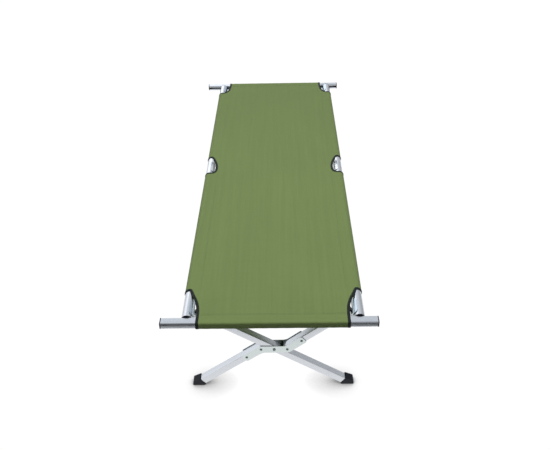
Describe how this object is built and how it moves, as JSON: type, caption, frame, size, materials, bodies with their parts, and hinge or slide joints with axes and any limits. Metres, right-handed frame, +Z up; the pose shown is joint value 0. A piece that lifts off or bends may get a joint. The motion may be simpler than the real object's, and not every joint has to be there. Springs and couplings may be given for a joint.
{
  "type": "folding camp cot",
  "caption": "Folding camp cot with a taut cloth bed on jointed side rails, X-shaped scissor legs and removable end bars.",
  "frame": {"origin": "on the floor, under the middle of the cot's bounding box", "axes": "+X across the cot, +Y along it from the foot end bar to the head end bar, +Z up"},
  "size_m": [0.74, 1.937, 0.4309],
  "materials": {
    "aluminium": "drawn, satin",
    "zinc_steel": "zinc plated",
    "black_plastic": "moulded, matte",
    "green_cloth": "woven polyester, coated below"
  },
  "bodies": {
    "left_front": {"rail_left_front": "aluminium", "rail_plug_left_front": "black_plastic", "lug_front_left": "zinc_steel", "lug_mid_left": "zinc_steel", "hinge_leaf_left_front": "zinc_steel", "rail_sleeve_left_front": "green_cloth", "bed_cloth_front": "green_cloth"},
    "left_rear": {"rail_left_rear": "aluminium", "rail_plug_left_rear": "black_plastic", "lug_rear_left": "zinc_steel", "hinge_leaf_left_rear": "zinc_steel", "rail_sleeve_left_rear": "green_cloth", "bed_cloth_rear": "green_cloth"},
    "right_front": {"rail_right_front": "aluminium", "rail_plug_right_front": "black_plastic", "lug_front_right": "zinc_steel", "lug_mid_right": "zinc_steel", "hinge_leaf_right_front": "zinc_steel", "rail_sleeve_right_front": "green_cloth"},
    "right_rear": {"rail_right_rear": "aluminium", "rail_plug_right_rear": "black_plastic", "lug_rear_right": "zinc_steel", "hinge_leaf_right_rear": "zinc_steel", "rail_sleeve_right_rear": "green_cloth"},
    "swing_front_left": {"swivel_front_left": "zinc_steel"},
    "front_straight": {"leg_front_straight": "aluminium", "centre_pin_front": "zinc_steel", "foot_front_right": "black_plastic"},
    "front_split": {"dogleg_plates_front": "zinc_steel", "leg_front_upper_arm": "aluminium", "leg_front_lower_arm": "aluminium", "foot_front_left": "black_plastic"},
    "swing_front_right": {"swivel_front_right": "zinc_steel"},
    "swing_mid_left": {"swivel_mid_left": "zinc_steel"},
    "mid_straight": {"leg_mid_straight": "aluminium", "centre_pin_mid": "zinc_steel", "foot_mid_right": "black_plastic"},
    "mid_split": {"dogleg_plates_mid": "zinc_steel", "leg_mid_upper_arm": "aluminium", "leg_mid_lower_arm": "aluminium", "foot_mid_left": "black_plastic"},
    "swing_mid_right": {"swivel_mid_right": "zinc_steel"},
    "swing_rear_left": {"swivel_rear_left": "zinc_steel"},
    "rear_straight": {"leg_rear_straight": "aluminium", "centre_pin_rear": "zinc_steel", "foot_rear_right": "black_plastic"},
    "rear_split": {"dogleg_plates_rear": "zinc_steel", "leg_rear_upper_arm": "aluminium", "leg_rear_lower_arm": "aluminium", "foot_rear_left": "black_plastic"},
    "swing_rear_right": {"swivel_rear_right": "zinc_steel"},
    "bar_front": {"end_bar_front": "aluminium", "bar_cap_front_left": "black_plastic", "bar_cap_front_right": "black_plastic", "end_sleeve_front": "green_cloth"},
    "bar_rear": {"end_bar_rear": "aluminium", "bar_cap_rear_left": "black_plastic", "bar_cap_rear_right": "black_plastic", "end_sleeve_rear": "green_cloth"}
  },
  "joints": [
    {"name": "fold", "type": "hinge", "parent": "left_front", "child": "left_rear", "pos_m": [-0.2815, 0.06, 0.426], "axis": [1, 0, 0], "range_deg": [0, 180]},
    {"name": "fold_right", "type": "hinge", "parent": "right_front", "child": "right_rear", "pos_m": [0.3075, 0.06, 0.426], "axis": [1, 0, 0], "range_deg": [0, 180]},
    {"name": "swing_front", "type": "hinge", "parent": "left_front", "child": "swing_front_left", "pos_m": [-0.2815, -0.87, 0.364], "axis": [1, 0, 0], "range_deg": [0, 80]},
    {"name": "swing_mid", "type": "hinge", "parent": "left_front", "child": "swing_mid_left", "pos_m": [-0.2815, -0.005, 0.364], "axis": [-1, 0, 0], "range_deg": [0, 90]},
    {"name": "swing_rear", "type": "hinge", "parent": "left_rear", "child": "swing_rear_left", "pos_m": [-0.2815, 0.87, 0.364], "axis": [-1, 0, 0], "range_deg": [0, 90]},
    {"name": "scissor", "type": "hinge", "parent": "swing_mid_left", "child": "mid_straight", "pos_m": [-0.247, -0.005, 0.375], "axis": [0, 1, 0], "range_deg": [0, 50], "deforming": ["bed_cloth_front", "bed_cloth_rear", "end_sleeve_front", "end_sleeve_rear"]},
    {"name": "cross_mid", "type": "hinge", "parent": "mid_straight", "child": "mid_split", "pos_m": [0.013, -0.005, 0.196], "axis": [0, 1, 0], "range_deg": [-100, 0]},
    {"name": "top_mid_right", "type": "hinge", "parent": "mid_split", "child": "swing_mid_right", "pos_m": [0.273, -0.005, 0.375], "axis": [0, 1, 0], "range_deg": [0, 50]},
    {"name": "scissor_front", "type": "hinge", "parent": "swing_front_left", "child": "front_straight", "pos_m": [-0.247, -0.87, 0.375], "axis": [0, 1, 0], "range_deg": [0, 50]},
    {"name": "cross_front", "type": "hinge", "parent": "front_straight", "child": "front_split", "pos_m": [0.013, -0.87, 0.196], "axis": [0, 1, 0], "range_deg": [-100, 0]},
    {"name": "top_front_right", "type": "hinge", "parent": "front_split", "child": "swing_front_right", "pos_m": [0.273, -0.87, 0.375], "axis": [0, 1, 0], "range_deg": [0, 50]},
    {"name": "scissor_rear", "type": "hinge", "parent": "swing_rear_left", "child": "rear_straight", "pos_m": [-0.247, 0.87, 0.375], "axis": [0, 1, 0], "range_deg": [0, 50]},
    {"name": "cross_rear", "type": "hinge", "parent": "rear_straight", "child": "rear_split", "pos_m": [0.013, 0.87, 0.196], "axis": [0, 1, 0], "range_deg": [-100, 0]},
    {"name": "top_rear_right", "type": "hinge", "parent": "rear_split", "child": "swing_rear_right", "pos_m": [0.273, 0.87, 0.375], "axis": [0, 1, 0], "range_deg": [0, 50]},
    {"name": "rail_right", "type": "hinge", "parent": "swing_mid_right", "child": "right_front", "pos_m": [0.3075, -0.005, 0.364], "axis": [-1, 0, 0], "range_deg": [-90, 0]},
    {"name": "bar_front_pull", "type": "slide", "parent": "left_front", "child": "bar_front", "axis": [0, -1, 0], "range_m": [0, 0.03]},
    {"name": "bar_rear_pull", "type": "slide", "parent": "left_rear", "child": "bar_rear", "axis": [0, 1, 0], "range_m": [0, 0.03]}
  ],
  "couplings": [
    {"joint": "fold_right", "follows": "fold", "ratio": 1},
    {"joint": "cross_mid", "follows": "scissor", "ratio": -2},
    {"joint": "top_mid_right", "follows": "scissor", "ratio": 1},
    {"joint": "scissor_front", "follows": "scissor", "ratio": 1},
    {"joint": "cross_front", "follows": "scissor", "ratio": -2},
    {"joint": "top_front_right", "follows": "scissor", "ratio": 1},
    {"joint": "scissor_rear", "follows": "scissor", "ratio": 1},
    {"joint": "cross_rear", "follows": "scissor", "ratio": -2},
    {"joint": "top_rear_right", "follows": "scissor", "ratio": 1},
    {"joint": "rail_right", "follows": "swing_mid", "ratio": -1}
  ]
}
